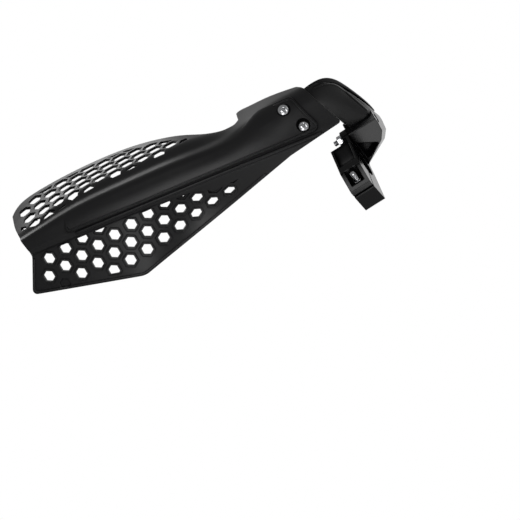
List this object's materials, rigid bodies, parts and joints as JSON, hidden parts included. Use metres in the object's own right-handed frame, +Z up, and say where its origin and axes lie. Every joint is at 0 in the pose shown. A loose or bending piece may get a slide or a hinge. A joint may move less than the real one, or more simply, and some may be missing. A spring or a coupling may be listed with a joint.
{
  "type": "motorcycle hand guard",
  "caption": "Moulded wind and stone guard for a rider's hand, with honeycomb vents, on a curved arm that ends in a split handlebar clamp.",
  "frame": {"origin": "centre of the handlebar clamp's bore", "axes": "+X along the bore axis towards the middle of the handlebar, +Y back to the rider, +Z up"},
  "size_m": [0.3193, 0.1679, 0.1661],
  "materials": {
    "shield_plastic": "satin moulded black",
    "arm_plastic": "smooth moulded black",
    "fasteners": "bright zinc plated"
  },
  "bodies": {
    "root": {"shield": "shield_plastic", "mount_arm": "arm_plastic", "clamp_cap": "arm_plastic", "shield_screws": "fasteners", "shield_nuts": "fasteners", "clamp_bolt": "fasteners", "clamp_nut": "fasteners", "hinge_bolt": "fasteners", "hinge_washer": "fasteners", "hinge_nut": "fasteners"}
  },
  "joints": []
}
